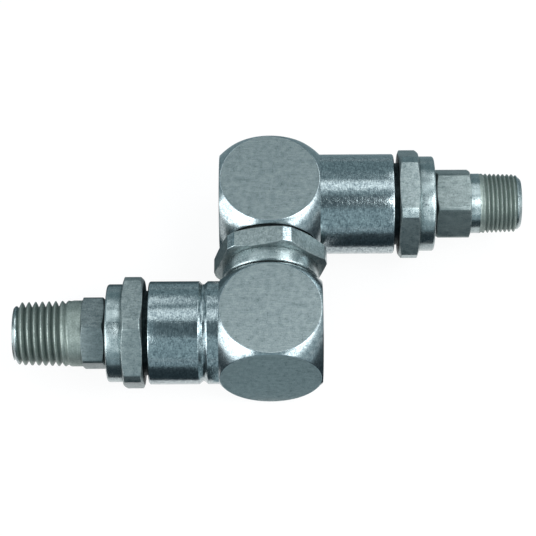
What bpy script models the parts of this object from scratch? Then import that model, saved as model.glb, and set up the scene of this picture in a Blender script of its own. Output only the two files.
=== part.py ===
"""Three-plane swivel adapter for high-pressure fluid lines, in zinc-plated steel.

Two elbows are joined by a swivel, and each arm ends in a swivelling threaded nipple. All three
swivels are the same joint: a stem with a ball groove turns in a gland nut, and a seal stands
behind the balls. The adapter lies as it comes to rest, on the corners of its three gland nuts.

Metres, +Z up. The origin is on the table, straight below the middle swivel.
"""
import math

import bmesh
import bpy
from mathutils import Matrix, Vector

MM = 0.001
INCH = 25.4 * MM

# Elbows: a cube whose corners are turned to a sphere, with a round arm
BLOCK_SIZE = 21.9 * MM
FLAT_DIAMETER = 21.4 * MM
SOCKET_FACE_RISE = 0.3 * MM
ARM_DIAMETER = 21.7 * MM
INLET_ARM_REACH = 25.5 * MM
OUTLET_ARM_REACH = 26.8 * MM
ARM_CHAMFER = 0.4 * MM
GROOVE_REACH = 14.05 * MM
GROOVE_WIDTH = 1.8 * MM
GROOVE_BOTTOM_WIDTH = 0.3 * MM
GROOVE_DEPTH = 0.65 * MM
DRILLING_DIAMETER = 5.5 * MM
DRILL_POINT_ANGLE = math.radians(118)

# Gland nut: threaded shank, hexagon and round collar, turned from one bar
NUT_THREAD_DIAMETER = 19.05 * MM
NUT_THREAD_DEPTH = 4.5 * MM
NUT_NECK_LENGTH = 1.0 * MM
NUT_ACROSS_FLATS = 22.2 * MM
NUT_CORNER_CUT = 0.5 * MM
NUT_HEX_LENGTH = 4.35 * MM
COLLAR_DIAMETER = 20.6 * MM
COLLAR_LENGTH = 3.4 * MM
COLLAR_EDGE = 0.5 * MM

# Stems and nipples
STEM_DIAMETER = 11.0 * MM
FLOW_BORE_DIAMETER = 6.6 * MM
STEM_SHOULDER = 1.5 * MM
STEM_CORNER_CUT = 0.2 * MM
STEM_HEX_GAP = 0.45 * MM
INLET_HEX_LENGTH = 4.8 * MM
OUTLET_HEX_LENGTH = 7.45 * MM
INLET_THREAD_DIAMETER = 13.9 * MM
INLET_THREAD_LENGTH = 14.4 * MM
INLET_THREADS_PER_INCH = 18
OUTLET_THREAD_DIAMETER = 13.0 * MM
OUTLET_THREAD_LENGTH = 11.0 * MM
OUTLET_THREADS_PER_INCH = 27
THREAD_RUNOUT = 2.4 * MM
THREAD_TAPER = 1 / 16
THREAD_HEIGHT_IN_PITCHES = 0.8
THREAD_TIP_CHAMFER = 1.1 * MM
SPIGOT_DIAMETER = 13.2 * MM
SPIGOT_DEPTH = 7.0 * MM

# Ball race and seal
BALL_DIAMETER = 3.175 * MM
BALL_STANDOFF = 0.9 * MM
BALL_SLACK = 0.3 * MM
BALL_DEPTH = 1.4 * MM
BACKUP_THICKNESS = 0.9 * MM
SEAL_SPACE = 1.8 * MM

# Clearances and edges
RUNNING_GAP = 0.3 * MM
COLLAR_GAP = 0.73 * MM
SEAT_GAP = 0.3 * MM
FIT_GAP = 0.15 * MM
THREAD_GAP = 0.2 * MM
SMALL_CHAMFER = 0.35 * MM
HEX_FACE_INSET = 0.08 * MM
HEX_CHAMFER_ANGLE = math.radians(30)

# How far each hexagon stands turned from a corner straight down
INLET_NUT_TURN = math.radians(-20)
OUTLET_NUT_TURN = math.radians(-19)
CENTER_NUT_TURN = math.radians(-17)
INLET_STEM_TURN = math.radians(-18)
OUTLET_STEM_TURN = math.radians(-20.5)

# Facets
ARM_STEPS = 48
NUT_STEPS = 30
BORE_STEPS = 26
STEM_STEPS = 24
RING_STEPS = 16
SPHERE_STEPS = 11
SEAL_SECTION_SIDES = 6
HEXAGON_SIDES = 6
WELD_DISTANCE = 0.005 * MM
SHARP_ANGLE = math.radians(32)

# Hexagons, and the bars they are milled from, a little narrower than their sharp corners
HALF_SIDE_ANGLE = math.pi / HEXAGON_SIDES
STEM_ACROSS_FLATS = STEM_DIAMETER + 2 * STEM_SHOULDER
NUT_BAR_DIAMETER = NUT_ACROSS_FLATS / math.cos(HALF_SIDE_ANGLE) - 2 * NUT_CORNER_CUT
STEM_BAR_DIAMETER = STEM_ACROSS_FLATS / math.cos(HALF_SIDE_ANGLE) - 2 * STEM_CORNER_CUT

# The balls stand round the stem, as many as fit with a little slack, and the seal fits round it too
BALL_CIRCLE_DIAMETER = STEM_DIAMETER + 2 * BALL_STANDOFF
BALL_COUNT = int(math.pi / math.asin((BALL_DIAMETER + BALL_SLACK) / BALL_CIRCLE_DIAMETER))
RACE_RADIUS = BALL_DIAMETER / 2 + FIT_GAP
SEAL_POCKET_DIAMETER = STEM_DIAMETER + 2 * SEAL_SPACE
SEAL_SECTION = SEAL_SPACE / 2 - FIT_GAP

# Levels on a swivel's own axis: 0 is the mouth of its housing, and up is out along the stem
HEX_BASE = NUT_NECK_LENGTH
HEX_TOP = HEX_BASE + NUT_HEX_LENGTH
NUT_TOP = HEX_TOP + COLLAR_LENGTH
NUT_BOTTOM = -NUT_THREAD_DEPTH
SOCKET_FLOOR = NUT_BOTTOM - SEAT_GAP
BALL_LEVEL = -BALL_DEPTH
BACKUP_BOTTOM = SOCKET_FLOOR - BACKUP_THICKNESS
SEAL_LEVEL = BACKUP_BOTTOM - FIT_GAP - SEAL_SECTION
STEM_BOTTOM = SEAL_LEVEL - SEAL_SECTION - SEAT_GAP
POCKET_FLOOR = STEM_BOTTOM - SEAT_GAP
STEM_HEX_BASE = NUT_TOP + STEM_HEX_GAP
BLOCK_GAP = NUT_TOP + COLLAR_GAP
AXIS_SPACING = BLOCK_SIZE + SOCKET_FACE_RISE + BLOCK_GAP


def rest_height():
    """The height of the swivels' axes, as the round land of the lowest nut corner touches the table."""
    half_land = HALF_SIDE_ANGLE - math.acos(NUT_ACROSS_FLATS / NUT_BAR_DIAMETER)
    turns = (INLET_NUT_TURN, OUTLET_NUT_TURN, CENTER_NUT_TURN)
    return NUT_BAR_DIAMETER / 2 * max(math.cos(max(abs(turn) - half_land, 0)) for turn in turns)


AXIS_HEIGHT = rest_height()
INLET_CENTER = Vector((0, -AXIS_SPACING / 2, AXIS_HEIGHT))
OUTLET_CENTER = Vector((0, AXIS_SPACING / 2, AXIS_HEIGHT))


def clear_scene():
    for old in list(bpy.data.objects):
        bpy.data.objects.remove(old, do_unlink=True)


def new_collection(name):
    collection = bpy.data.collections.new(name)
    bpy.context.scene.collection.children.link(collection)
    return collection


def new_material(name, color, roughness, metallic):
    material = bpy.data.materials.new(name)
    material.use_nodes = True
    shader = material.node_tree.nodes["Principled BSDF"]
    shader.inputs["Base Color"].default_value = (*color, 1)
    shader.inputs["Roughness"].default_value = roughness
    shader.inputs["Metallic"].default_value = metallic
    return material


clear_scene()
PARTS = new_collection("swivel_adapter")
CUTTERS = new_collection("cutters")
ZINC = new_material("zinc_plated_steel", (0.52, 0.55, 0.56), 0.35, 1)
NUT_ZINC = new_material("zinc_plated_nut", (0.46, 0.49, 0.50), 0.42, 1)
STEM_ZINC = new_material("zinc_plated_nipple", (0.47, 0.50, 0.52), 0.40, 1)
BALL_STEEL = new_material("bearing_steel", (0.62, 0.62, 0.63), 0.12, 1)
RING_STEEL = new_material("ground_steel", (0.50, 0.50, 0.51), 0.30, 1)
BACKUP_PLASTIC = new_material("ptfe", (0.80, 0.79, 0.75), 0.50, 0)
SEAL_RUBBER = new_material("nitrile_rubber", (0.02, 0.02, 0.02), 0.65, 0)


def add_object(name, mesh, parent=None, height=0.0, turn=0.0):
    """A part on its parent's axis, at a level along it and turned about it."""
    part = bpy.data.objects.new(name, mesh)
    PARTS.objects.link(part)
    part.parent = parent
    part.location = (0, 0, height)
    part.rotation_euler = (0, 0, turn)
    return part


def make_cutter(part):
    """Moves a shape that only cuts or joins other parts to the cutters' collection."""
    PARTS.objects.unlink(part)
    CUTTERS.objects.link(part)
    part.hide_render = True
    part.display_type = "WIRE"
    return part


def boolean(part, other, operation):
    modifier = part.modifiers.new(other.name, "BOOLEAN")
    modifier.operation = operation
    modifier.solver = "EXACT"
    modifier.object = other


def finish(part, material):
    """Bakes a part's modifiers into its mesh, gives it its material and shades its round faces."""
    bpy.context.view_layer.update()
    evaluated = part.evaluated_get(bpy.context.evaluated_depsgraph_get())
    mesh = bpy.data.meshes.new_from_object(evaluated)
    mesh.name = part.name
    part.modifiers.clear()
    part.data = mesh
    mesh.materials.clear()
    mesh.materials.append(material)
    mesh.shade_smooth()
    mesh.set_sharp_from_angle(angle=SHARP_ANGLE)


def arc(radius, level, size, start, end, count):
    """Points of a profile on a circle round (radius, level), from one angle to another."""
    angles = [math.radians(start + (end - start) * i / count) for i in range(count + 1)]
    return [(radius + size * math.cos(a), level + size * math.sin(a)) for a in angles]


def turned(name, profile, steps, parent=None, turn=0.0):
    """A turned solid. Its profile runs down the outer side, then up the bore if it has one."""
    edges = [(i, i + 1) for i in range(len(profile) - 1)]
    if profile[0][0] > 0:
        edges.append((len(profile) - 1, 0))
    mesh = bpy.data.meshes.new(name)
    mesh.from_pydata([(radius, 0, level) for radius, level in profile], edges, [])
    part = add_object(name, mesh, parent, turn=turn)
    screw = part.modifiers.new("Turning", "SCREW")
    screw.axis = "Z"
    screw.angle = math.tau
    screw.steps = steps
    screw.render_steps = steps
    screw.use_merge_vertices = True
    screw.merge_threshold = WELD_DISTANCE
    return part


def hexagon_cutter(name, across_flats, base, top, turn, parent):
    """What a mill takes away to leave a hexagon: an outline with a hexagonal hole, extruded."""
    overrun = SMALL_CHAMFER
    outline = bpy.data.curves.new(name, "CURVE")
    outline.dimensions = "2D"
    outline.fill_mode = "BOTH"
    outline.extrude = (top - base) / 2 + overrun
    corner = across_flats / 2 / math.cos(HALF_SIDE_ANGLE)
    for radius in (corner, 2 * corner):
        spline = outline.splines.new("POLY")
        spline.points.add(HEXAGON_SIDES - 1)
        spline.use_cyclic_u = True
        for i, point in enumerate(spline.points):
            angle = math.tau * i / HEXAGON_SIDES
            point.co = (radius * math.cos(angle), radius * math.sin(angle), 0, 1)
    rough = bpy.data.objects.new(name, outline)
    CUTTERS.objects.link(rough)
    bpy.context.view_layer.update()
    evaluated = rough.evaluated_get(bpy.context.evaluated_depsgraph_get())
    mesh = bpy.data.meshes.new_from_object(evaluated)
    bpy.data.objects.remove(rough, do_unlink=True)
    shape = bmesh.new()
    shape.from_mesh(mesh)
    bmesh.ops.remove_doubles(shape, verts=shape.verts, dist=WELD_DISTANCE)
    bmesh.ops.recalc_face_normals(shape, faces=shape.faces)
    shape.to_mesh(mesh)
    shape.free()
    return make_cutter(add_object(name, mesh, parent, (base + top) / 2, turn))


def axis_frame(name, location, outward):
    """An empty on a swivel's axis: its Z runs out along the stem and its X points down."""
    down = Vector((0, 0, -1))
    frame = bpy.data.objects.new(name, None)
    CUTTERS.objects.link(frame)
    rotation = Matrix((down, outward.cross(down), outward)).transposed()
    frame.matrix_world = Matrix.Translation(location) @ rotation.to_4x4()
    frame.empty_display_size = STEM_DIAMETER / 2
    return frame


def hexagon_profile(bar_diameter, across_flats, base, top):
    """The turned blank of a hexagon, chamfered at both ends, top to bottom."""
    bar = bar_diameter / 2
    face = across_flats / 2 - HEX_FACE_INSET
    chamfer = (bar - face) * math.tan(HEX_CHAMFER_ANGLE)
    return [(face, top), (bar, top - chamfer), (bar, base + chamfer), (face, base)]


def nut_profile():
    bore = STEM_DIAMETER / 2 + RUNNING_GAP
    chamber = BALL_CIRCLE_DIAMETER / 2 + RACE_RADIUS
    thread = NUT_THREAD_DIAMETER / 2
    collar = COLLAR_DIAMETER / 2
    lip = math.degrees(math.acos((bore - BALL_CIRCLE_DIAMETER / 2) / RACE_RADIUS))
    return [
        (bore + SMALL_CHAMFER, NUT_TOP),
        *arc(collar - COLLAR_EDGE, NUT_TOP - COLLAR_EDGE, COLLAR_EDGE, 90, 0, 2),
        (collar, HEX_TOP),
        *hexagon_profile(NUT_BAR_DIAMETER, NUT_ACROSS_FLATS, HEX_BASE, HEX_TOP),
        (thread, HEX_BASE),
        (thread, NUT_BOTTOM + SMALL_CHAMFER),
        (thread - SMALL_CHAMFER, NUT_BOTTOM),
        (chamber, NUT_BOTTOM),
        *arc(BALL_CIRCLE_DIAMETER / 2, BALL_LEVEL, RACE_RADIUS, 0, lip, 3),
        (bore, NUT_TOP - SMALL_CHAMFER),
    ]


def gland_nut(name, frame, turn):
    """The nut screws into the housing, and its inner race holds the balls in the stem's groove."""
    nut = turned(name, nut_profile(), NUT_STEPS, frame, turn)
    flats = hexagon_cutter(name + "_flats", NUT_ACROSS_FLATS, HEX_BASE, HEX_TOP, turn, frame)
    boolean(nut, flats, "DIFFERENCE")
    finish(nut, NUT_ZINC)


def stem_nose():
    """The inner end of every stem: the ball groove, the nose in the seal and the flow bore."""
    stem = STEM_DIAMETER / 2
    bore = FLOW_BORE_DIAMETER / 2
    edge = math.degrees(math.acos((stem - BALL_CIRCLE_DIAMETER / 2) / RACE_RADIUS))
    return [
        *arc(BALL_CIRCLE_DIAMETER / 2, BALL_LEVEL, RACE_RADIUS, edge, 360 - edge, 4),
        (stem, STEM_BOTTOM + SMALL_CHAMFER),
        (stem - SMALL_CHAMFER, STEM_BOTTOM),
        (bore + SMALL_CHAMFER, STEM_BOTTOM),
        (bore, STEM_BOTTOM + SMALL_CHAMFER),
    ]


def taper_thread(radius, base, shoulder, pitch):
    """The ridges of a taper thread, from its tip down. Plain rings stand in for the helix."""
    def crest(level):
        return (radius - (level - base) * THREAD_TAPER / 2, level)

    ridges = [crest(shoulder)]
    for i in range(int((shoulder - base) / pitch)):
        root, level = crest(shoulder - (i + 0.5) * pitch)
        ridges += [(root - THREAD_HEIGHT_IN_PITCHES * pitch, level), crest(shoulder - (i + 1) * pitch)]
    return ridges + [(radius, base)]


def nipple(name, frame, hex_length, thread_diameter, thread_length, threads_per_inch, turn):
    """A threaded nipple, its wrench hexagon and its stem, all one piece."""
    bore = FLOW_BORE_DIAMETER / 2
    thread = thread_diameter / 2
    hex_top = STEM_HEX_BASE + hex_length
    tip = hex_top + thread_length
    ridges = taper_thread(thread, hex_top + THREAD_RUNOUT, tip - THREAD_TIP_CHAMFER,
                          INCH / threads_per_inch)
    profile = [
        (bore + SMALL_CHAMFER, tip),
        (ridges[0][0] - THREAD_TIP_CHAMFER, tip),
        *ridges,
        (thread, hex_top),
        *hexagon_profile(STEM_BAR_DIAMETER, STEM_ACROSS_FLATS, STEM_HEX_BASE, hex_top)[1:],
        (STEM_DIAMETER / 2, STEM_HEX_BASE),
        *stem_nose(),
        (bore, tip - SMALL_CHAMFER),
    ]
    part = turned(name, profile, STEM_STEPS, frame, turn)
    flats = hexagon_cutter(name + "_flats", STEM_ACROSS_FLATS, STEM_HEX_BASE, hex_top, turn, frame)
    boolean(part, flats, "DIFFERENCE")
    finish(part, STEM_ZINC)


def center_stem(frame):
    """The middle stem is screwed fast into the inlet block by the spigot at its outer end."""
    spigot = SPIGOT_DIAMETER / 2
    face = BLOCK_GAP
    top = face + SPIGOT_DEPTH
    profile = [
        (FLOW_BORE_DIAMETER / 2, top),
        (spigot - SMALL_CHAMFER, top),
        (spigot, top - SMALL_CHAMFER),
        (spigot, face),
        (STEM_DIAMETER / 2, face),
        *stem_nose(),
    ]
    finish(turned("center_stem", profile, STEM_STEPS, frame), STEM_ZINC)


def flat_ring(name, frame, inner, outer, bottom, top, material):
    profile = [(inner, top), (outer, top), (outer, bottom), (inner, bottom)]
    finish(turned(name, profile, RING_STEPS, frame), material)


def balls(name, frame):
    """A full ring of loose balls with a little slack, in the race."""
    mesh = bpy.data.meshes.new(name)
    shape = bmesh.new()
    bmesh.ops.create_icosphere(shape, subdivisions=2, radius=BALL_DIAMETER / 2)
    shape.to_mesh(mesh)
    shape.free()
    mesh.materials.append(BALL_STEEL)
    mesh.shade_smooth()
    for i in range(BALL_COUNT):
        angle = math.tau * i / BALL_COUNT
        ball = add_object(f"{name}_{i + 1:02d}", mesh, frame)
        reach = BALL_CIRCLE_DIAMETER / 2
        ball.location = (reach * math.cos(angle), reach * math.sin(angle), BALL_LEVEL)
        ball.rotation_euler = (0, 0, angle)


def seal_ring(name, frame):
    bpy.ops.mesh.primitive_torus_add(
        major_radius=(STEM_DIAMETER + SEAL_SPACE) / 2, minor_radius=SEAL_SECTION,
        major_segments=RING_STEPS, minor_segments=SEAL_SECTION_SIDES)
    made = bpy.context.object
    ring = add_object(name, made.data, frame, SEAL_LEVEL)
    bpy.data.objects.remove(made, do_unlink=True)
    finish(ring, SEAL_RUBBER)


def swivel_inside(side, frame):
    """What every swivel holds: the balls, the ring behind them, a back-up ring and a seal."""
    stem = STEM_DIAMETER / 2
    balls(side + "_ball", frame)
    flat_ring(side + "_thrust_ring", frame, stem + RUNNING_GAP,
              BALL_CIRCLE_DIAMETER / 2 + RACE_RADIUS - FIT_GAP,
              SOCKET_FLOOR + SEAT_GAP, BALL_LEVEL - BALL_DIAMETER / 2 - FIT_GAP, RING_STEEL)
    flat_ring(side + "_backup_ring", frame, stem + FIT_GAP, SEAL_POCKET_DIAMETER / 2 - FIT_GAP,
              BACKUP_BOTTOM, SOCKET_FLOOR, BACKUP_PLASTIC)
    seal_ring(side + "_seal_ring", frame)


def drilled_end(reach):
    """The bottom of a drilling that ends just past the block's centre, with its drill point."""
    drill = DRILLING_DIAMETER / 2
    end = -reach - drill
    return [(drill, end), (0, end - drill / math.tan(DRILL_POINT_ANGLE / 2))]


def socket_cutter(name, frame, reach):
    """The stepped bore of a swivel's housing: thread, seal pocket and flow drilling."""
    socket = NUT_THREAD_DIAMETER / 2 + THREAD_GAP
    mouth = SMALL_CHAMFER
    profile = [
        (0, mouth),
        (socket + 2 * mouth, mouth),
        (socket, -mouth),
        (socket, SOCKET_FLOOR),
        (SEAL_POCKET_DIAMETER / 2, SOCKET_FLOOR),
        (SEAL_POCKET_DIAMETER / 2, POCKET_FLOOR),
        (DRILLING_DIAMETER / 2, POCKET_FLOOR),
        *drilled_end(reach),
    ]
    return make_cutter(turned(name, profile, BORE_STEPS, frame))


def spigot_cutter(name, frame):
    """The blind hole in the inlet block that the middle stem screws into."""
    spigot = SPIGOT_DIAMETER / 2 + THREAD_GAP
    deep = SPIGOT_DEPTH + SEAT_GAP
    profile = [(0, SEAT_GAP), (spigot, SEAT_GAP), (spigot, -deep), (DRILLING_DIAMETER / 2, -deep),
               *drilled_end(BLOCK_SIZE / 2)]
    return make_cutter(turned(name, profile, BORE_STEPS, frame))


def elbow_profile(reach, grooved):
    """An elbow's turned blank, from the arm's mouth down; 0 is the middle of the block."""
    arm = ARM_DIAMETER / 2
    sphere = math.hypot(BLOCK_SIZE, FLAT_DIAMETER) / 2
    profile = [(0, reach), (arm - ARM_CHAMFER, reach), (arm, reach - ARM_CHAMFER)]
    if grooved:
        for side in (1, -1):
            lip = (arm, GROOVE_REACH + side * GROOVE_WIDTH / 2)
            bottom = (arm - GROOVE_DEPTH, GROOVE_REACH + side * GROOVE_BOTTOM_WIDTH / 2)
            profile += [lip, bottom][::side]
    root = math.degrees(math.acos(arm / sphere))
    end = math.degrees(math.asin(BLOCK_SIZE / 2 / sphere))
    return profile + arc(0, 0, sphere, root, -end, SPHERE_STEPS) + [(0, -BLOCK_SIZE / 2)]


def square_bar(name, frame, reach, rise):
    """The square bar that gives the block its long flats; its -Y flat may stand a little higher."""
    mesh = bpy.data.meshes.new(name)
    shape = bmesh.new()
    bmesh.ops.create_cube(shape, size=BLOCK_SIZE)
    bmesh.ops.scale(shape, vec=(1, 1 + rise / BLOCK_SIZE, 3 * reach / BLOCK_SIZE), verts=shape.verts)
    bmesh.ops.translate(shape, vec=(0, -rise / 2, 0), verts=shape.verts)
    shape.to_mesh(mesh)
    shape.free()
    return make_cutter(add_object(name, mesh, frame, -reach))


def elbow(name, frame, reach, grooved, rise, arm_cutter, face_cutter):
    """One elbow: a sphere-cornered block and its arm, with the bores that meet in its middle."""
    body = turned(name, elbow_profile(reach, grooved), ARM_STEPS, frame)
    body.location.z = -reach
    boolean(body, square_bar(name + "_bar", frame, reach, rise), "INTERSECT")
    boolean(body, arm_cutter, "DIFFERENCE")
    boolean(body, face_cutter, "DIFFERENCE")
    finish(body, ZINC)


def build():
    left, right, back, front = (Vector(v) for v in ((-1, 0, 0), (1, 0, 0), (0, 1, 0), (0, -1, 0)))
    inlet = axis_frame("inlet_axis", INLET_CENTER + left * INLET_ARM_REACH, left)
    outlet = axis_frame("outlet_axis", OUTLET_CENTER + right * OUTLET_ARM_REACH, right)
    center_reach = BLOCK_SIZE / 2 + SOCKET_FACE_RISE
    center = axis_frame("center_axis", OUTLET_CENTER + front * center_reach, front)
    root = axis_frame("root_axis", INLET_CENTER + back * BLOCK_SIZE / 2, back)

    elbow("inlet_elbow", inlet, INLET_ARM_REACH, True, 0,
          socket_cutter("inlet_socket", inlet, INLET_ARM_REACH), spigot_cutter("spigot_socket", root))
    elbow("outlet_elbow", outlet, OUTLET_ARM_REACH, False, SOCKET_FACE_RISE,
          socket_cutter("outlet_socket", outlet, OUTLET_ARM_REACH),
          socket_cutter("center_socket", center, center_reach))

    gland_nut("inlet_gland_nut", inlet, INLET_NUT_TURN)
    gland_nut("outlet_gland_nut", outlet, OUTLET_NUT_TURN)
    gland_nut("center_gland_nut", center, CENTER_NUT_TURN)

    nipple("inlet_nipple", inlet, INLET_HEX_LENGTH, INLET_THREAD_DIAMETER, INLET_THREAD_LENGTH,
           INLET_THREADS_PER_INCH, INLET_STEM_TURN)
    nipple("outlet_nipple", outlet, OUTLET_HEX_LENGTH, OUTLET_THREAD_DIAMETER,
           OUTLET_THREAD_LENGTH, OUTLET_THREADS_PER_INCH, OUTLET_STEM_TURN)
    center_stem(center)

    for side, frame in (("inlet", inlet), ("center", center), ("outlet", outlet)):
        swivel_inside(side, frame)


build()
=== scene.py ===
import math

import bmesh
import bpy
import numpy as np
from mathutils import Matrix, Vector


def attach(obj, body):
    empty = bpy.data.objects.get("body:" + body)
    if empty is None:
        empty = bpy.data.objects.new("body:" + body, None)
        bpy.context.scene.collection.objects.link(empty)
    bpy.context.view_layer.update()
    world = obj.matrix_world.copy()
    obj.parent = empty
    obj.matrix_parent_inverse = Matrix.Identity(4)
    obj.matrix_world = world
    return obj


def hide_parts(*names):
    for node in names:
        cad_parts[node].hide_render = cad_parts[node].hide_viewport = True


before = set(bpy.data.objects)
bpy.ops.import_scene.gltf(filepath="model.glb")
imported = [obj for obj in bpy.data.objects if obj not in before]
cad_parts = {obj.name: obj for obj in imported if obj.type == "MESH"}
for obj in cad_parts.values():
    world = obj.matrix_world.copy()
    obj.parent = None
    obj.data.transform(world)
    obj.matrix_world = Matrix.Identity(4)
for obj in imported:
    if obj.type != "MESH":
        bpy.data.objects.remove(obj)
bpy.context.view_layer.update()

# Elbows. Each is one piece of steel: a square bar end whose corners are turned to a sphere, with a
# round arm. The flats are milled and tumbled, the rest is turned, and all of it is zinc plated.
# Each has a threaded socket in the arm; a second socket or a tapped hole meets it in the middle.
MM = 0.001
AXIS_HEIGHT = 12.0165 * MM
AXIS_SPACING = 31.68 * MM
BLOCK_SIZE = 21.9 * MM
FLAT_DIAMETER = 21.4 * MM
SOCKET_FACE_RISE = 0.3 * MM
SPHERE_RADIUS = math.hypot(BLOCK_SIZE, FLAT_DIAMETER) / 2
EDGE_ROUNDING = 0.25 * MM
ARM_RADIUS = 10.85 * MM
INLET_ARM_REACH = 25.5 * MM
OUTLET_ARM_REACH = 26.8 * MM
GROOVE_REACH = 14.05 * MM
GROOVE_WIDTH = 1.8 * MM
GROOVE_BOTTOM_WIDTH = 0.3 * MM
GROOVE_DEPTH = 0.65 * MM
GROOVE_LIP_ROUNDING = 0.22 * MM
GROOVE_FLOOR_ROUNDING = 0.1 * MM
ARM_MOUTH_ROUNDING = 0.4 * MM
ARM_MOUTH_LAND = 0.6 * MM
SOCKET_RADIUS = 9.725 * MM
SOCKET_DEPTH = 4.8 * MM
POCKET_RADIUS = 7.3 * MM
POCKET_DEPTH = 7.95 * MM
POCKET_ROUNDING = 0.2 * MM
DRILLING_RADIUS = 2.75 * MM
DRILL_POINT = 1.65 * MM
SPIGOT_HOLE_RADIUS = 6.8 * MM
SPIGOT_HOLE_DEPTH = 7.3 * MM
MOUTH_CHAMFER = 0.35 * MM
CUTTER_OVERSHOOT = 0.5 * MM
# Degrees on the sphere from a side's middle to its border, and to its border with the arm's side.
# The arm's root reaches 45.1 degrees round the sphere, so its side gets 0.2 degrees more
SIDE_LIMIT = 45
LIMIT_AT_ARM = 44.8
ARC_STEPS = 4
SIDE_STEPS = 40
BORE_STEPS = 120
SPHERE_RINGS = 6
RING_SPACING = 2 * MM
WELD = 0.0004 * MM
SHARP = math.radians(31)
# The elbow's finishes, by their place in its list of materials
MILLED, FORMED, BORED, TURNED = range(4)


def linear(color):
    """An sRGB hex colour such as "a9b4b6" as the linear RGBA that the nodes take."""
    parts = [int(color[i:i + 2], 16) / 255 for i in (0, 2, 4)]
    return (*[c / 12.92 if c <= 0.04045 else ((c + 0.055) / 1.055) ** 2.4 for c in parts], 1)


def add_node(material, kind, sockets, **settings):
    """Adds a node. Sockets are its inputs, each a value or another node's output."""
    tree = material.node_tree
    node = tree.nodes.new("ShaderNode" + kind)
    for name, value in settings.items():
        setattr(node, name, value)
    for key, value in sockets.items():
        if isinstance(value, bpy.types.NodeSocket):
            tree.links.new(value, node.inputs[key])
        else:
            node.inputs[key].default_value = value
    return node


def new_material(name, metallic, **shader_values):
    """A material with a bare Principled shader, whose constant values are set on its sockets."""
    material = bpy.data.materials.new(name)
    material.use_nodes = True
    shader = material.node_tree.nodes["Principled BSDF"]
    shader.inputs["Metallic"].default_value = metallic
    for key, value in shader_values.items():
        shader.inputs[key.replace("_", " ")].default_value = value
    return material, shader


def worked_metal(name, bright, dull, rough, grain, dent, mark, marks, blotch=1.6 * MM, pits=0.0,
                 groove_shade=None, metallic=1.0, **shader_values):
    """A machined surface: blotched in two colours, dented, and marked by its tool.

    grain is the size of the dents and dent their depth. mark is the size of the tool's marks
    (across the piece's own Z axis, along it) and marks their depth. All of them are in metres.
    """
    material, shader = new_material(name, metallic, **shader_values)
    where = add_node(material, "TexCoord", {}).outputs["Object"]
    clouds = add_node(material, "TexNoise", {"Vector": where, "Scale": 1 / blotch, "Detail": 4.0,
                                             "Roughness": 0.6}).outputs["Fac"]
    grains = add_node(material, "TexNoise", {"Vector": where, "Scale": 1 / grain, "Detail": 2.0,
                                             "Roughness": 0.6}).outputs["Fac"]
    stretched = add_node(material, "Mapping", {"Vector": where, "Scale": (
        1 / mark[0], 1 / mark[0], 1 / mark[1])}).outputs[0]
    strokes = add_node(material, "TexNoise", {"Vector": stretched, "Scale": 1.0, "Detail": 3.0,
                                              "Roughness": 0.6}).outputs["Fac"]
    # The clouds and grains add up to about 1.0 and all three to 1.5. The lowest of the two are pits
    sum_two = add_node(material, "Math", {0: clouds, 1: grains}, operation="ADD").outputs[0]
    sum_all = add_node(material, "Math", {0: sum_two, 1: strokes}, operation="ADD").outputs[0]
    tint = add_node(material, "MapRange", {"Value": sum_all, "From Min": 1.2, "From Max": 1.8})
    color = add_node(material, "Mix", {0: tint.outputs[0], 6: linear(dull), 7: linear(bright)},
                     data_type="RGBA").outputs[2]
    if pits:
        spots = add_node(material, "MapRange", {"Value": sum_two, "From Min": 0.8, "From Max": 0.66,
                                                "To Max": pits}).outputs[0]
        color = add_node(material, "Mix", {0: spots, 6: color, 7: linear("4f5f62")},
                         data_type="RGBA").outputs[2]
    # Painted shade: the colour is drawn towards the given dark tone by how deep a point lies in a
    # thread's groove
    if groove_shade:
        depth = add_node(material, "Attribute", {}, attribute_name="groove_shade").outputs["Fac"]
        color = add_node(material, "Mix", {0: depth, 6: color, 7: linear(groove_shade)},
                         data_type="RGBA").outputs[2]
    # The high grains are rubbed smoother than the low ones
    wear = add_node(material, "MapRange", {"Value": grains, "From Min": 0.3, "From Max": 0.7,
                                           "To Min": rough * 1.35, "To Max": rough * 0.7}).outputs[0]
    dents = add_node(material, "Bump", {"Height": grains, "Distance": dent, "Strength": 1.0})
    relief = add_node(material, "Bump", {"Height": strokes, "Distance": marks, "Strength": 1.0,
                                         "Normal": dents.outputs[0]})
    tree = material.node_tree
    tree.links.new(color, shader.inputs["Base Color"])
    tree.links.new(wear, shader.inputs["Roughness"])
    tree.links.new(relief.outputs[0], shader.inputs["Normal"])
    return material


# Bright zinc plate over milled steel, tumbled: satin, with stains, pits and faint cutter lines
MILLED_ZINC = worked_metal("milled_zinc_plate", "9da7a8", "778385", 0.36, 0.22 * MM, 0.018 * MM,
                           (0.12 * MM, 2 * MM), 0.01 * MM, blotch=1.2 * MM, pits=0.9)
# The same plate over turned steel: glossy, dented by tumbling. Real feed marks are about 0.1 mm
# apart, and are drawn at 0.26 mm so that they show
TURNED_ZINC = worked_metal("turned_zinc_plate", "bac5c7", "6f7e84", 0.17, 0.3 * MM, 0.02 * MM,
                           (0.9 * MM, 0.26 * MM), 0.018 * MM, blotch=0.8 * MM, pits=0.7)
# The sphere is form turned in one pass, so it is smoother than the arm and shines more evenly
SPHERE_ZINC = worked_metal("form_turned_zinc_plate", "b4bec0", "818e93", 0.19, 0.3 * MM, 0.01 * MM,
                           (0.9 * MM, 0.3 * MM), 0.01 * MM, blotch=0.9 * MM, pits=0.6)
# Plate is thin and dull deep in a bore
BORE_ZINC = worked_metal("bored_zinc_plate", "6d7678", "596366", 0.4, 0.6 * MM, 0.01 * MM,
                         (2 * MM, 0.3 * MM), 0.01 * MM)
ELBOW_PLATES = (MILLED_ZINC, SPHERE_ZINC, BORE_ZINC, TURNED_ZINC)


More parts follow.
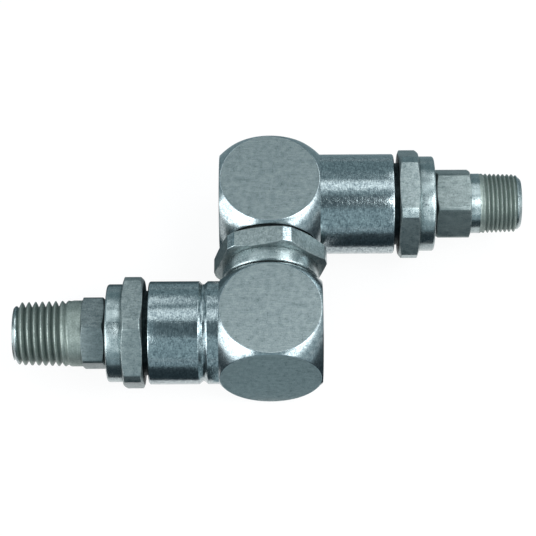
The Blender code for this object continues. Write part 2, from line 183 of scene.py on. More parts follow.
def rounded(profile, steps=ARC_STEPS):
    """Rounds the corners of an open profile. A corner is (radius, level, rounding, finish)."""
    points = [Vector(corner[:2]) for corner in profile]
    out = []
    for i, (radius, level, rounding, finish) in enumerate(profile):
        if not rounding:
            out.append((radius, level, finish))
            continue
        back = (points[i - 1] - points[i]).normalized()
        ahead = (points[(i + 1) % len(points)] - points[i]).normalized()
        half = back.angle(ahead) / 2
        center = points[i] + (back + ahead).normalized() * rounding / math.sin(half)
        reach = rounding / math.tan(half)
        first = points[i] + back * reach - center
        last = points[i] + ahead * reach - center
        for k in range(steps + 1):
            spot = center + first.lerp(last, k / steps).normalized() * rounding
            out.append((spot.x, spot.y, finish))
    return out


def axis_place(location, outward):
    """A frame on a swivel's axis: its Z runs out along the stem and its X points down."""
    down = Vector((0, 0, -1))
    rotation = Matrix((down, outward.cross(down), outward)).transposed().to_4x4()
    return Matrix.Translation(location) @ rotation


def new_piece(name, shape, materials, place):
    """A mesh object from a bmesh, which is closed, welded and shaded first."""
    bmesh.ops.remove_doubles(shape, verts=shape.verts, dist=WELD)
    bmesh.ops.dissolve_degenerate(shape, edges=shape.edges, dist=WELD)
    bmesh.ops.recalc_face_normals(shape, faces=shape.faces)
    mesh = bpy.data.meshes.new(name)
    shape.to_mesh(mesh)
    shape.free()
    for material in materials:
        mesh.materials.append(material)
    mesh.shade_smooth()
    mesh.set_sharp_from_angle(angle=SHARP)
    piece = bpy.data.objects.new(name, mesh)
    piece.matrix_world = place
    bpy.context.scene.collection.objects.link(piece)
    return piece


def lathe(name, angles, column, materials, place, turn=0.0):
    """A turned solid, turned on its axis. column(angle) gives its closed profile at an angle, as
    (radius, level, finish, valley)."""
    shape = bmesh.new()
    # Each point keeps how deep it lies in a thread's groove, which sets that groove's painted shade
    groove_shade = shape.verts.layers.float.new("groove_shade")
    rows = [[*column(angle)] for angle in angles]
    grid = []
    for angle, row in zip(angles, rows):
        line = []
        for radius, level, _, depth in row:
            spot = shape.verts.new((radius * math.cos(angle + turn),
                                    radius * math.sin(angle + turn), level))
            spot[groove_shade] = depth
            line.append(spot)
        grid.append(line)
    for row, near, far in zip(rows, grid, grid[1:]):
        for j in range(len(near)):
            k = (j + 1) % len(near)
            face = shape.faces.new((near[j], near[k], far[k], far[j]))
            face.material_index = row[j][2]
    return new_piece(name, shape, materials, place)


def even_angles(steps):
    return [math.tau * i / steps for i in range(steps + 1)]


def plain(profile):
    """A column function for a profile that is the same all round."""
    column = [(radius, level, finish, 0.0) for radius, level, finish in profile]
    return lambda angle: column


def cut(piece, cutter):
    """Takes the cutter away from the piece for good."""
    modifier = piece.modifiers.new("cut", "BOOLEAN")
    modifier.operation = "DIFFERENCE"
    modifier.solver = "EXACT"
    modifier.object = cutter
    bpy.context.view_layer.update()
    evaluated = piece.evaluated_get(bpy.context.evaluated_depsgraph_get())
    mesh = bpy.data.meshes.new_from_object(evaluated)
    piece.modifiers.clear()
    piece.data = mesh
    mesh.shade_smooth()
    mesh.set_sharp_from_angle(angle=SHARP)
    bpy.data.objects.remove(cutter, do_unlink=True)


def side_rings(height, rounding):
    """A flat's rounded edge and its rim, from the sphere inwards, as (radius, height, finish)."""
    inner = SPHERE_RADIUS - rounding
    center = math.sqrt(inner ** 2 - (height - rounding) ** 2)
    start = math.atan2(height - rounding, center)
    rings = []
    for k in range(ARC_STEPS + 1):
        angle = start + (math.pi / 2 - start) * k / ARC_STEPS
        rings.append((center + rounding * math.cos(angle),
                      height - rounding + rounding * math.sin(angle), FORMED))
    rings.append((center - rounding / 3, height, MILLED))
    return rings


def arm_rings(reach, grooved):
    """The arm's outline from the sphere out to its mouth, as (radius, height, finish)."""
    root = math.sqrt(SPHERE_RADIUS ** 2 - ARM_RADIUS ** 2)
    profile = [(ARM_RADIUS, root, 0, TURNED)]
    if grooved:
        lip, bottom = GROOVE_WIDTH / 2, GROOVE_BOTTOM_WIDTH / 2
        floor_radius = ARM_RADIUS - GROOVE_DEPTH
        profile += [(ARM_RADIUS, GROOVE_REACH - lip, GROOVE_LIP_ROUNDING, TURNED),
                    (floor_radius, GROOVE_REACH - bottom, GROOVE_FLOOR_ROUNDING, TURNED),
                    (floor_radius, GROOVE_REACH + bottom, GROOVE_FLOOR_ROUNDING, TURNED),
                    (ARM_RADIUS, GROOVE_REACH + lip, GROOVE_LIP_ROUNDING, TURNED)]
    profile += [(ARM_RADIUS, reach, ARM_MOUTH_ROUNDING, TURNED),
                (ARM_RADIUS - ARM_MOUTH_LAND, reach, 0, TURNED)]
    rings = rounded(profile)
    # Rings along the plain lengths keep the long faces from being slivers
    out = [rings[0]]
    for ring in rings[1:]:
        count = max(1, round((ring[1] - out[-1][1]) / RING_SPACING))
        last = out[-1]
        out += [tuple(last[k] + (ring[k] - last[k]) * i / count for k in (0, 1)) + (TURNED,)
                for i in range(1, count + 1)]
    return out


def elbow(name, place, reach, grooved, rises):
    """The outer skin of an elbow: six sides that meet on one sphere, the +Z side with the arm."""
    limits = [(-SIDE_LIMIT, SIDE_LIMIT), (-SIDE_LIMIT, SIDE_LIMIT), (-SIDE_LIMIT, LIMIT_AT_ARM)]
    shape = bmesh.new()
    for axis in range(3):
        across, along = (axis + 1) % 3, (axis + 2) % 3
        for end, sign in enumerate((-1, 1)):
            if axis == 2 and sign == 1:
                rings = arm_rings(reach, grooved)
            else:
                rings = side_rings(BLOCK_SIZE / 2 + rises.get((axis, sign), 0), EDGE_ROUNDING)
            first = math.atan2(rings[0][0], rings[0][1])
            count = 4 * SIDE_STEPS
            lines = []
            for j in range(count):
                side, step = divmod(j, SIDE_STEPS)
                share = step / SIDE_STEPS
                u_lo, u_hi = limits[across]
                v_lo, v_hi = limits[along]
                u = (u_hi, u_hi + (u_lo - u_hi) * share, u_lo, u_lo + (u_hi - u_lo) * share)[side]
                v = (v_lo + (v_hi - v_lo) * share, v_hi, v_hi + (v_lo - v_hi) * share, v_lo)[side]
                border = Vector((0, 0, 0))
                border[axis] = sign * math.tan(math.radians(abs(limits[axis][end])))
                border[across] = math.tan(math.radians(u))
                border[along] = math.tan(math.radians(v))
                even = math.tau * j / count - math.pi / 4
                skew = math.atan2(border[along], border[across]) - even
                skew = (skew + math.pi) % math.tau - math.pi
                outer = math.atan2(math.hypot(border[across], border[along]), abs(border[axis]))
                spots = []
                for k in range(SPHERE_RINGS):
                    part = k / SPHERE_RINGS
                    polar = outer + (first - outer) * part
                    azimuth = even + skew * (1 - part)
                    spots.append((SPHERE_RADIUS * math.sin(polar), SPHERE_RADIUS * math.cos(polar),
                                  azimuth))
                spots += [(ring[0], ring[1], even) for ring in rings]
                line = []
                for radius, height, azimuth in spots:
                    spot = Vector((0, 0, 0))
                    spot[axis] = sign * height
                    spot[across] = radius * math.cos(azimuth)
                    spot[along] = radius * math.sin(azimuth)
                    line.append(shape.verts.new(spot))
                lines.append(line)
            finishes = [FORMED] * SPHERE_RINGS + [ring[2] for ring in rings]
            for j in range(count):
                near, far = lines[j], lines[(j + 1) % count]
                for k in range(len(near) - 1):
                    face = shape.faces.new((near[k], far[k], far[k + 1], near[k + 1]))
                    face.material_index = finishes[k]
            face = shape.faces.new([line[-1] for line in lines])
            face.material_index = finishes[-1]
    return new_piece(name, shape, ELBOW_PLATES, place)


def socket_cutter(place, reach):
    """The stepped bore of a housing: thread, seal pocket and flow drilling. 0 is its mouth."""
    end = -reach - DRILLING_RADIUS
    profile = [(0, CUTTER_OVERSHOOT, 0, BORED),
               (SOCKET_RADIUS + MOUTH_CHAMFER + CUTTER_OVERSHOOT, CUTTER_OVERSHOOT, 0, BORED),
               (SOCKET_RADIUS, -MOUTH_CHAMFER, 0, BORED), (SOCKET_RADIUS, -SOCKET_DEPTH, 0, BORED),
               (POCKET_RADIUS, -SOCKET_DEPTH, 0, BORED),
               (POCKET_RADIUS, -POCKET_DEPTH, POCKET_ROUNDING, BORED),
               (DRILLING_RADIUS, -POCKET_DEPTH, 0, BORED), (DRILLING_RADIUS, end, 0, BORED),
               (0, end - DRILL_POINT, 0, BORED)]
    return lathe("cutter", even_angles(BORE_STEPS), plain(rounded(profile)), ELBOW_PLATES, place)


def spigot_cutter(place):
    """The tapped hole that the middle stem screws into, and the drilling behind it."""
    end = -BLOCK_SIZE / 2 - DRILLING_RADIUS
    profile = [(0, CUTTER_OVERSHOOT, 0, BORED), (SPIGOT_HOLE_RADIUS, CUTTER_OVERSHOOT, 0, BORED),
               (SPIGOT_HOLE_RADIUS, -SPIGOT_HOLE_DEPTH, 0, BORED),
               (DRILLING_RADIUS, -SPIGOT_HOLE_DEPTH, 0, BORED), (DRILLING_RADIUS, end, 0, BORED),
               (0, end - DRILL_POINT, 0, BORED)]
    return lathe("cutter", even_angles(BORE_STEPS), plain(rounded(profile)), ELBOW_PLATES, place)


LEFT, RIGHT, BACK, FRONT = (Vector(v) for v in ((-1, 0, 0), (1, 0, 0), (0, 1, 0), (0, -1, 0)))
INLET_CENTER = Vector((0, -AXIS_SPACING / 2, AXIS_HEIGHT))
OUTLET_CENTER = Vector((0, AXIS_SPACING / 2, AXIS_HEIGHT))
INLET_MOUTH = INLET_CENTER + LEFT * INLET_ARM_REACH
OUTLET_MOUTH = OUTLET_CENTER + RIGHT * OUTLET_ARM_REACH
CENTER_MOUTH = OUTLET_CENTER + FRONT * (BLOCK_SIZE / 2 + SOCKET_FACE_RISE)

inlet_elbow = elbow("inlet_elbow_shown", axis_place(INLET_CENTER, LEFT), INLET_ARM_REACH, True, {})
cut(inlet_elbow, socket_cutter(axis_place(INLET_MOUTH, LEFT), INLET_ARM_REACH))
cut(inlet_elbow, spigot_cutter(axis_place(INLET_CENTER + BACK * BLOCK_SIZE / 2, BACK)))
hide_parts("inlet_elbow")
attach(inlet_elbow, "inlet_body")

outlet_elbow = elbow("outlet_elbow_shown", axis_place(OUTLET_CENTER, RIGHT), OUTLET_ARM_REACH,
                     False, {(1, -1): SOCKET_FACE_RISE})
cut(outlet_elbow, socket_cutter(axis_place(OUTLET_MOUTH, RIGHT), OUTLET_ARM_REACH))
cut(outlet_elbow, socket_cutter(axis_place(CENTER_MOUTH, FRONT), BLOCK_SIZE / 2 + SOCKET_FACE_RISE))
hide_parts("outlet_elbow")
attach(outlet_elbow, "outlet_body")

# Gland nuts. Three like pieces turned and milled from hexagon bar and zinc plated to a satin: each
# screws into its housing, and its inner race holds the balls in the stem's groove.
NUT_THREAD_RADIUS = 9.525 * MM
NUT_THREAD_PITCH = 1.0 * MM
NUT_THREAD_DEPTH = 0.6 * MM
NUT_THREAD_START = 0.4 * MM
NUT_END_CHAMFER = 0.5 * MM
NUT_NECK_RADIUS = 8.9 * MM
NUT_ACROSS_FLATS = 22.2 * MM
# The bar is 12.317 mm; its true rounds are drawn a hair under, inside the solids' faceted ones
NUT_BAR_RADIUS = 12.255 * MM
HEX_BASE = 1.0 * MM
HEX_TOP = 5.35 * MM
NUT_TOP = 8.75 * MM
NUT_BOTTOM = -4.5 * MM
COLLAR_RADIUS = 10.3 * MM
COLLAR_EDGE = 0.5 * MM
COLLAR_RELIEF = 0.2 * MM
COLLAR_RELIEF_LENGTH = 0.35 * MM
STEM_RADIUS = 5.5 * MM
NUT_BORE_RADIUS = 5.8 * MM
BALL_CIRCLE_RADIUS = 6.4 * MM
RACE_RADIUS = 1.7375 * MM
BALL_LEVEL = -1.4 * MM
HEX_FACE_INSET = 0.08 * MM
HEX_CHAMFER = math.radians(20)
CORNER_BLEND = 0.06 * MM
NUT_HEX_ROUNDING = 0.2 * MM
RACE_STEPS = 8
# Degrees between the lines at a corner land's ends, and how many lines cross a flat
LAND_STEP = 0.35
FLAT_STEPS = 14
# The nut's finishes, by their place in its list of materials; the third is painted shade on the neck
# under the hexagon
FLATS, COLLAR, NECK_SHADE, LANDS = range(4)
# One pitch of a thread, from crest to crest, as (share of the pitch, share of the full depth)
THREAD_SHAPE = ((0, 0), (0.08, 0.05), (0.26, 0.45), (0.43, 0.93), (0.5, 1), (0.57, 0.93),
                (0.74, 0.45), (0.92, 0.05))

# Satin zinc plate over the hexagon bar's drawn flats: even, with fine dents and some stains
NUT_ZINC = worked_metal("satin_zinc_plate", "9ba5a5", "6d797b", 0.42, 0.3 * MM, 0.02 * MM,
                        (0.4 * MM, 0.8 * MM), 0.006 * MM, blotch=1.1 * MM, pits=0.9)
# Zinc plate over coarse turning, whose grooves spread a lamp's glint along the collar; a quarter
# turn lays the stretched glint across them
GROOVE_TURN = 0.25
COLLAR_ZINC = worked_metal("grooved_zinc_plate", "aab5b6", "8c999b", 0.3, 0.5 * MM, 0.002 * MM,
                           (12 * MM, 0.45 * MM), 0.045 * MM, Anisotropic=0.85,
                           Anisotropic_Rotation=GROOVE_TURN)
# Painted shade: the thread's run-out and the hexagon's underside, in the gap between the nut and its
# housing, are coloured near black for the shade that falls there
NECK_SHADE_STEEL = worked_metal("neck_painted_shade", "364143", "20292b", 0.5, 0.5 * MM, 0.01 * MM,
                           (2 * MM, 0.3 * MM), 0.01 * MM)


def hexagon_angles(across_flats, bar_radius):
    """Angles round a hexagon, close together where its flats meet the round lands of the bar."""
    land = math.degrees(math.pi / 6 - math.acos(across_flats / 2 / bar_radius))
    near = [land + k * LAND_STEP for k in (-2, -1, 0, 1, 2)]
    flat = [near[-1] + (60 - 2 * near[-1]) * k / FLAT_STEPS for k in range(1, FLAT_STEPS)]
    sector = [0] + near + flat + [60 - angle for angle in reversed(near)]
    return [math.radians(60 * i + angle) for i in range(6) for angle in sector] + [math.tau]


def hexagon_radius(angle, across_flats, bar_radius):
    """How far the hexagon reaches at an angle; its corners are at 0, 60 and so on."""
    flat = across_flats / 2 / math.cos(angle % (math.pi / 3) - math.pi / 6)
    near = max(CORNER_BLEND - abs(flat - bar_radius), 0) / CORNER_BLEND
    return min(flat, bar_radius) - near ** 2 * CORNER_BLEND / 4


def hexagon_corners(angle, across_flats, bar_radius, base, top, rounding, land_finish):
    """The profile down a hexagon at an angle, with its chamfers, which leave the scalloped edges."""
    radius = hexagon_radius(angle, across_flats, bar_radius)
    face = across_flats / 2 - HEX_FACE_INSET
    drop = (radius - face) * math.tan(HEX_CHAMFER)
    land = math.pi / 6 - math.acos(across_flats / 2 / bar_radius)
    from_corner = (angle + math.pi / 6) % (math.pi / 3) - math.pi / 6
    side = land_finish if -land < from_corner + WELD < land else FLATS
    return [(face, top, 0, FLATS), (radius, top - drop, rounding, side),
            (radius, base + drop, rounding, FLATS), (face, base, 0, FLATS)]


def thread_rows(angle, low, high, pitch, crest, depth, start=0.0):
    """Rows of a helical thread between two levels. crest and depth are functions of the level,
    and start is the share of a pitch by which the helix is moved, from -0.9 to 0."""
    rows = []
    advance = pitch * (angle / math.tau + start)
    turns = math.ceil((high - low) / pitch) + 1
    phases, depths = zip(*THREAD_SHAPE, (1, 0))
    for turn in range(turns + 1):
        for phase in phases[:-1]:
            level = min(max(low + pitch * (turn + phase - 1) + advance, low), high)
            spot = ((level - low - advance) / pitch) % 1
            share = float(np.interp(spot, phases, depths))
            rows.append((crest(level) - depth(level) * share, level, share * depth(level)))
    return rows[::-1]


def nut_column(angle):
    bore_start = math.acos((NUT_BORE_RADIUS - BALL_CIRCLE_RADIUS) / RACE_RADIUS)
    race = [(BALL_CIRCLE_RADIUS + RACE_RADIUS * math.cos(a), BALL_LEVEL + RACE_RADIUS * math.sin(a),
             0, COLLAR) for a in (bore_start * k / RACE_STEPS for k in range(RACE_STEPS + 1))]
    corners = hexagon_corners(angle, NUT_ACROSS_FLATS, NUT_BAR_RADIUS, HEX_BASE, HEX_TOP,
                              NUT_HEX_ROUNDING, LANDS)
    outer = rounded([
        (NUT_BORE_RADIUS + MOUTH_CHAMFER, NUT_TOP, 0, COLLAR),
        (COLLAR_RADIUS, NUT_TOP, COLLAR_EDGE, COLLAR),
        (COLLAR_RADIUS, HEX_TOP + COLLAR_RELIEF_LENGTH, 0, COLLAR),
        (COLLAR_RADIUS - COLLAR_RELIEF, HEX_TOP, 0, FLATS),
        *corners[:-1],
        # The hexagon's underside and the neck below it take the painted shade of the gap
        (*corners[-1][:3], NECK_SHADE),
        (NUT_NECK_RADIUS, HEX_BASE, 0, NECK_SHADE),
        (NUT_NECK_RADIUS, 0, 0, NECK_SHADE),
    ])
    thread = thread_rows(angle, NUT_BOTTOM + NUT_THREAD_START, 0, NUT_THREAD_PITCH,
                         lambda level: NUT_THREAD_RADIUS, lambda level: NUT_THREAD_DEPTH)
    inner = rounded([(NUT_THREAD_RADIUS - NUT_END_CHAMFER, NUT_BOTTOM, 0, FLATS),
                     (BALL_CIRCLE_RADIUS + RACE_RADIUS, NUT_BOTTOM, 0, FLATS), *race,
                     (NUT_BORE_RADIUS, NUT_TOP - MOUTH_CHAMFER, 0, COLLAR)])
    return ([(*point, 0.0) for point in outer]
            + [(r, z, FLATS, d / NUT_THREAD_DEPTH) for r, z, d in thread]
            + [(*point, 0.0) for point in inner])


NUT_ANGLES = hexagon_angles(NUT_ACROSS_FLATS, NUT_BAR_RADIUS)
for side, mouth, outward, turn, land_plate, body in (
        ("inlet", INLET_MOUTH, LEFT, -20, NUT_ZINC, "inlet_body"),
        ("outlet", OUTLET_MOUTH, RIGHT, -19, COLLAR_ZINC, "outlet_body"),
        ("center", CENTER_MOUTH, FRONT, -17, TURNED_ZINC, "outlet_body")):
    nut = lathe(side + "_gland_nut_shown", NUT_ANGLES, nut_column,
                (NUT_ZINC, COLLAR_ZINC, NECK_SHADE_STEEL, land_plate), axis_place(mouth, outward),
                math.radians(turn))
    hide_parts(side + "_gland_nut")
    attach(nut, body)

# Nipples. Each is one turned piece: a stem with a ball groove, a wrench hexagon and a taper pipe
# thread, cut by a die that leaves a fading run-out, then zinc plated to a duller, greener grey.
STEM_ACROSS_FLATS = 14.0 * MM
STEM_BAR_RADIUS = 7.883 * MM
STEM_HEX_BASE = 9.2 * MM
STEM_BOTTOM = -7.65 * MM
FLOW_BORE_RADIUS = 3.3 * MM
THREAD_RUNOUT = 2.4 * MM
THREAD_TAPER = 1 / 16
THREAD_TIP_CHAMFER = 1.1 * MM
# The share of a pitch by which both threads' helix is moved along the nipple
THREAD_START = -0.66
STEM_HEX_ROUNDING = 0.12 * MM
BORE_INNER_ROUNDING = 0.3 * MM
GROOVE_STEPS = 10
INCH = 25.4 * MM
# The nipple's finishes after FLATS, by their place in its list of materials
THREADED, BRIGHT = 1, 2

# Duller zinc plate over the hexagon's flats
NIPPLE_ZINC = worked_metal("dull_zinc_plate", "909a99", "6c7778", 0.42, 0.35 * MM, 0.014 * MM,
                           (0.5 * MM, 2 * MM), 0.006 * MM, pits=0.6)
# The inlet nipple's plate is drawn darker than the outlet's
DARK_NIPPLE_ZINC = worked_metal("dark_zinc_plate", "818b8c", "5f6b6d", 0.42, 0.35 * MM, 0.014 * MM,
                                (0.5 * MM, 2 * MM), 0.006 * MM, pits=0.6)
# Plate over a cut thread: greenish and less bright, with painted shade darkening it down in the
# grooves
THREAD_ZINC = worked_metal("threaded_zinc_plate", "919b96", "727d79", 0.48, 0.35 * MM, 0.012 * MM,
                           (4 * MM, 0.3 * MM), 0.02 * MM, groove_shade="75817d", metallic=0.8)


def stem_nose():
    """The inner end of every stem: the ball groove, the nose in the seal and the bore's mouth."""
    edge = math.acos((STEM_RADIUS - BALL_CIRCLE_RADIUS) / RACE_RADIUS)
    angles = [edge + (math.tau - 2 * edge) * k / GROOVE_STEPS for k in range(GROOVE_STEPS + 1)]
    groove = [(BALL_CIRCLE_RADIUS + RACE_RADIUS * math.cos(a),
               BALL_LEVEL + RACE_RADIUS * math.sin(a), 0, FLATS) for a in angles]
    return groove + [(STEM_RADIUS, STEM_BOTTOM, MOUTH_CHAMFER, FLATS),
                     (FLOW_BORE_RADIUS, STEM_BOTTOM, BORE_INNER_ROUNDING, FLATS)]


def nipple_column(hex_length, radius, length, pitch, height, fade, shank):
    """The column function of a nipple. height is the thread's depth as a share of its pitch, fade
    is where it begins and where it is full, and shank is the finish of the plain length below."""
    hex_top = STEM_HEX_BASE + hex_length
    tip = hex_top + length
    depth_full = height * pitch
    cone_end = radius - (length - THREAD_RUNOUT - THREAD_TIP_CHAMFER) * THREAD_TAPER / 2

    def crest(level):
        cone = radius - max(level - hex_top - THREAD_RUNOUT, 0) * THREAD_TAPER / 2
        return min(cone, cone_end + (tip - THREAD_TIP_CHAMFER - level))

    def depth(level):
        share = min(max((level - hex_top - fade[0]) / (fade[1] - fade[0]), 0), 1)
        cone = radius - max(level - hex_top - THREAD_RUNOUT, 0) * THREAD_TAPER / 2
        return max(depth_full * share - (cone - crest(level)), 0)

    def finish(level):
        if level > tip - THREAD_TIP_CHAMFER * 0.9:
            return BRIGHT
        return shank if level < hex_top + fade[0] else THREADED

    def column(angle):
        head = rounded([(FLOW_BORE_RADIUS + MOUTH_CHAMFER, tip, 0, BRIGHT),
                        (crest(tip), tip, 0, BRIGHT)])
        thread = thread_rows(angle, hex_top, tip, pitch, crest, depth, THREAD_START)
        tail = rounded([*hexagon_corners(angle, STEM_ACROSS_FLATS, STEM_BAR_RADIUS, STEM_HEX_BASE,
                                         hex_top, STEM_HEX_ROUNDING, FLATS),
                        (STEM_RADIUS, STEM_HEX_BASE, 0, FLATS), *stem_nose(),
                        (FLOW_BORE_RADIUS, tip - MOUTH_CHAMFER, 0, FLATS)])
        return ([(*point, 0.0) for point in head]
                + [(r, z, finish(z), d / depth_full) for r, z, d in thread]
                + [(*point, 0.0) for point in tail])

    return column


NIPPLE_ANGLES = hexagon_angles(STEM_ACROSS_FLATS, STEM_BAR_RADIUS)
# Turns are in degrees. The hexagon's length, the thread's radius and length and the fade are in mm
for side, mouth, outward, turn, hex_length, radius, length, pitch, height, fade, shank, plate in (
        ("inlet", INLET_MOUTH, LEFT, -18, 4.8, 6.95, 14.4, INCH / 18, 0.8, (2.0, 5.0), THREADED,
         DARK_NIPPLE_ZINC),
        ("outlet", OUTLET_MOUTH, RIGHT, -20.5, 7.45, 6.5, 11.0, INCH / 27, 0.65, (2.0, 3.6), BRIGHT,
         NIPPLE_ZINC)):
    column = nipple_column(hex_length * MM, radius * MM, length * MM, pitch, height,
                           [level * MM for level in fade], shank)
    nipple = lathe(side + "_nipple_shown", NIPPLE_ANGLES, column,
                   (plate, THREAD_ZINC, COLLAR_ZINC), axis_place(mouth, outward),
                   math.radians(turn))
    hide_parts(side + "_nipple")
    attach(nipple, side + "_nipple_body")

# The middle stem is turned like the nipples' noses and screwed fast into the inlet block. Only a
# narrow band of it shows, in the shade between the middle nut and the block.
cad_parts["center_stem"].data.materials.clear()
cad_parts["center_stem"].data.materials.append(NIPPLE_ZINC)

# Balls of hardened chrome steel, ground and polished: 11 loose ones in each of the three races.
# Polishing leaves them mirror bright, with only a haze of fine scuffs from running.
BALL_STEEL = worked_metal("polished_bearing_steel", "c9c9cc", "c0c1c5", 0.08, 0.2 * MM, 0.001 * MM,
                          (0.3 * MM, 0.3 * MM), 0.001 * MM)

# Thrust rings of flat-ground steel stand behind the balls and take the push of the fluid.
# The grinding wheel leaves fine scratches that dull them to a grey satin.
RING_STEEL = worked_metal("ground_steel", "b0b1b3", "a2a4a7", 0.28, 0.3 * MM, 0.002 * MM,
                          (0.12 * MM, 2 * MM), 0.004 * MM)

# Back-up rings of turned PTFE keep the seals from being pushed into the running gap.
# PTFE is milky white and waxy, and the turning tool leaves soft rings on it.
PTFE = worked_metal("turned_ptfe", "ebe8e1", "dedad0", 0.42, 0.8 * MM, 0.004 * MM,
                    (3 * MM, 0.2 * MM), 0.006 * MM, metallic=0.0)

# Seal rings of nitrile rubber, moulded: they seal each stem in its pocket.
# The mould leaves them black and almost matt, with a bloom that greys them in patches.
NITRILE = worked_metal("moulded_nitrile_rubber", "222224", "161617", 0.6, 0.5 * MM, 0.006 * MM,
                       (0.8 * MM, 0.8 * MM), 0.004 * MM, metallic=0.0)

for name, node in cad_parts.items():
    for word, material in (("ball", BALL_STEEL), ("thrust", RING_STEEL), ("backup", PTFE),
                           ("seal", NITRILE)):
        if word in name:
            node.data.materials.clear()
            node.data.materials.append(material)

# The table is a plain sheet of matt white paper, 6 m across, so that its ends stay far off.
# Camera and glossy rays see it mostly as plain white, and the rest keeps the adapter's soft shadow.
FLOOR_HALF = 3
FLOOR_WHITE_SHARE = 0.9
floor_mesh = bpy.data.meshes.new("floor")
floor_mesh.from_pydata([(-FLOOR_HALF, -FLOOR_HALF, 0), (FLOOR_HALF, -FLOOR_HALF, 0),
                        (FLOOR_HALF, FLOOR_HALF, 0), (-FLOOR_HALF, FLOOR_HALF, 0)],
                       [], [(0, 1, 2, 3)])
floor = bpy.data.objects.new("floor", floor_mesh)
bpy.context.scene.collection.objects.link(floor)
FLOOR, floor_shader = new_material("white_sheet", 0, Base_Color=linear("f2f2f2"), Roughness=0.9)
rays = add_node(FLOOR, "LightPath", {})
seen = add_node(FLOOR, "Math", {0: rays.outputs["Is Camera Ray"], 1: rays.outputs["Is Glossy Ray"]},
                operation="MAXIMUM").outputs[0]
seen = add_node(FLOOR, "Math", {0: seen, 1: rays.outputs["Is Transmission Ray"]},
                operation="MAXIMUM").outputs[0]
lift = add_node(FLOOR, "Math", {0: seen, 1: FLOOR_WHITE_SHARE}, operation="MULTIPLY").outputs[0]
white = add_node(FLOOR, "Emission", {"Color": (1, 1, 1, 1), "Strength": 1.0})
mix = add_node(FLOOR, "MixShader", {0: lift, 1: floor_shader.outputs[0], 2: white.outputs[0]})
FLOOR.node_tree.links.new(mix.outputs[0], FLOOR.node_tree.nodes["Material Output"].inputs[0])
floor_mesh.materials.append(FLOOR)


def card(name, low, high, color, height=0.4 * MM):
    """A toned studio card, level at a height and between two corners, which shows only in
    reflections: the steel takes its light and dark tones from the cards."""
    mesh = bpy.data.meshes.new(name)
    mesh.from_pydata([(low[0], low[1], height), (high[0], low[1], height),
                      (high[0], high[1], height), (low[0], high[1], height)], [], [(0, 1, 2, 3)])
    board = bpy.data.objects.new(name, mesh)
    bpy.context.scene.collection.objects.link(board)
    material, _ = new_material(name, 0, Base_Color=(0, 0, 0, 1), Roughness=1.0,
                               Emission_Color=linear(color), Emission_Strength=1.0)
    mesh.materials.append(material)
    # The card glows and only reflections see it, so what the steel shows of it is painted reflection
    board.visible_camera = False
    board.visible_diffuse = False
    board.visible_shadow = False


# Painted reflections: dark cards lie close in front of the arms, as painted shade of the floor
# there, pale ones before the blocks and further off. Behind lie a grey one and a dark one, and the
# last hangs where the camera looks through it
card("card_front_left", (-0.4, -0.07), (-0.0125, -0.0305), "22343c")
card("card_front_middle", (-0.0125, -0.07), (0.0125, -0.0275), "a3b7bd")
card("card_front_right", (0.0125, -0.07), (0.4, -0.0015), "22343c")
card("card_front", (-0.4, -0.6), (0.4, -0.07), "9cb0b8")
card("card_back", (-0.4, 0.036), (0.4, 0.6), "869ba1")
card("card_back_left", (-0.4, -0.001), (-0.0125, 0.036), "42555b")
card("card_round_lens", (-0.056, -0.2), (0.055, -0.03), "5b6d74", 0.25)


def lamp(name, location, target, width, height, radiance):
    """A soft box of an even brightness, which looks at a point and isn't seen itself."""
    data = bpy.data.lights.new(name, "AREA")
    data.shape = "RECTANGLE"
    data.size = width
    data.size_y = height
    data.energy = radiance * math.pi * width * height
    light = bpy.data.objects.new(name, data)
    light.location = location
    aim = Vector(target) - Vector(location)
    light.rotation_euler = aim.to_track_quat("-Z", "Y").to_euler()
    light.visible_camera = False
    bpy.context.scene.collection.objects.link(light)


# Two long soft boxes overhead, two behind, two low at the sides and two higher up in front
lamp("top_left_box", (-0.13, 0.038, 0.24), (-0.13, 0.038, 0), 0.25, 0.11, 1.05)
lamp("top_right_box", (0.12, 0.065, 0.24), (0.12, 0.065, 0), 0.25, 0.09, 1.3)
lamp("back_left_box", (-0.13, 0.19, 0.23), (0, 0, 0.012), 0.26, 0.13, 0.9)
lamp("back_right_box", (0.16, 0.17, 0.23), (0, 0, 0.012), 0.16, 0.13, 2.6)
lamp("left_box", (-0.36, -0.14, 0.12), (0, 0, 0.02), 0.42, 0.26, 2.8)
lamp("right_box", (0.315, -0.16, 0.15), (0, 0, 0.012), 0.66, 0.09, 2.8)
lamp("front_right_box", (0.175, -0.09, 0.22), (0.05, 0.016, 0.012), 0.17, 0.18, 6.5)
lamp("front_left_box", (-0.17, -0.16, 0.15), (-0.05, -0.016, 0.012), 0.16, 0.16, 3.0)

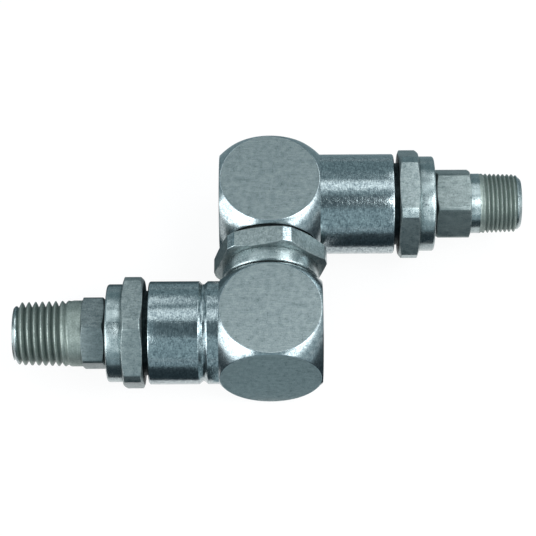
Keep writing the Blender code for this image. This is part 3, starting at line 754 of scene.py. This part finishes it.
# The studio's walls are a plain blue grey, a little darker behind the adapter than in front of it
world = bpy.data.worlds.new("studio")
bpy.context.scene.world = world
world.use_nodes = True
background = world.node_tree.nodes["Background"]
direction = add_node(world, "TexCoord", {}).outputs["Generated"]
depth = add_node(world, "SeparateXYZ", {0: direction}).outputs["Y"]
share = add_node(world, "MapRange", {"Value": depth, "From Min": -0.6, "From Max": 0.5}).outputs[0]
tone = add_node(world, "Mix", {0: share, 6: linear("b0c6cd"), 7: linear("8da2a8")},
                data_type="RGBA").outputs[2]
world.node_tree.links.new(tone, background.inputs["Color"])

scene = bpy.context.scene
scene.view_settings.view_transform = "Standard"

# The camera stands where the photograph was taken from: 60 degrees up and 0.44 m away
FOCAL_PIXELS = 2045.422
IMAGE_PIXELS = 536
SENSOR_MM = 36
ELEVATION = math.radians(59.788)
YAW = math.radians(0.254)
ROLL = math.radians(-0.564)
DISTANCE = 438.749 * MM
PICTURE_CENTER = (270.336, 267.269)

back = Vector((math.sin(YAW) * math.cos(ELEVATION), -math.cos(YAW) * math.cos(ELEVATION),
               math.sin(ELEVATION)))
level_right = Vector((math.cos(YAW), math.sin(YAW), 0))
level_up = back.cross(level_right)
right = level_right * math.cos(ROLL) + level_up * math.sin(ROLL)
up = level_up * math.cos(ROLL) - level_right * math.sin(ROLL)
camera_data = bpy.data.cameras.new("camera")
camera_data.sensor_fit = "HORIZONTAL"
camera_data.sensor_width = SENSOR_MM
camera_data.lens = FOCAL_PIXELS * SENSOR_MM / IMAGE_PIXELS
camera_data.shift_x = (IMAGE_PIXELS / 2 - PICTURE_CENTER[0]) / IMAGE_PIXELS
camera_data.shift_y = (PICTURE_CENTER[1] - IMAGE_PIXELS / 2) / IMAGE_PIXELS
camera_data.clip_start = 0.01
camera = bpy.data.objects.new("camera", camera_data)
scene.collection.objects.link(camera)
camera.matrix_world = (Matrix.Translation(back * DISTANCE + Vector((0, 0, AXIS_HEIGHT)))
                       @ Matrix((right, up, back)).transposed().to_4x4())
scene.camera = camera
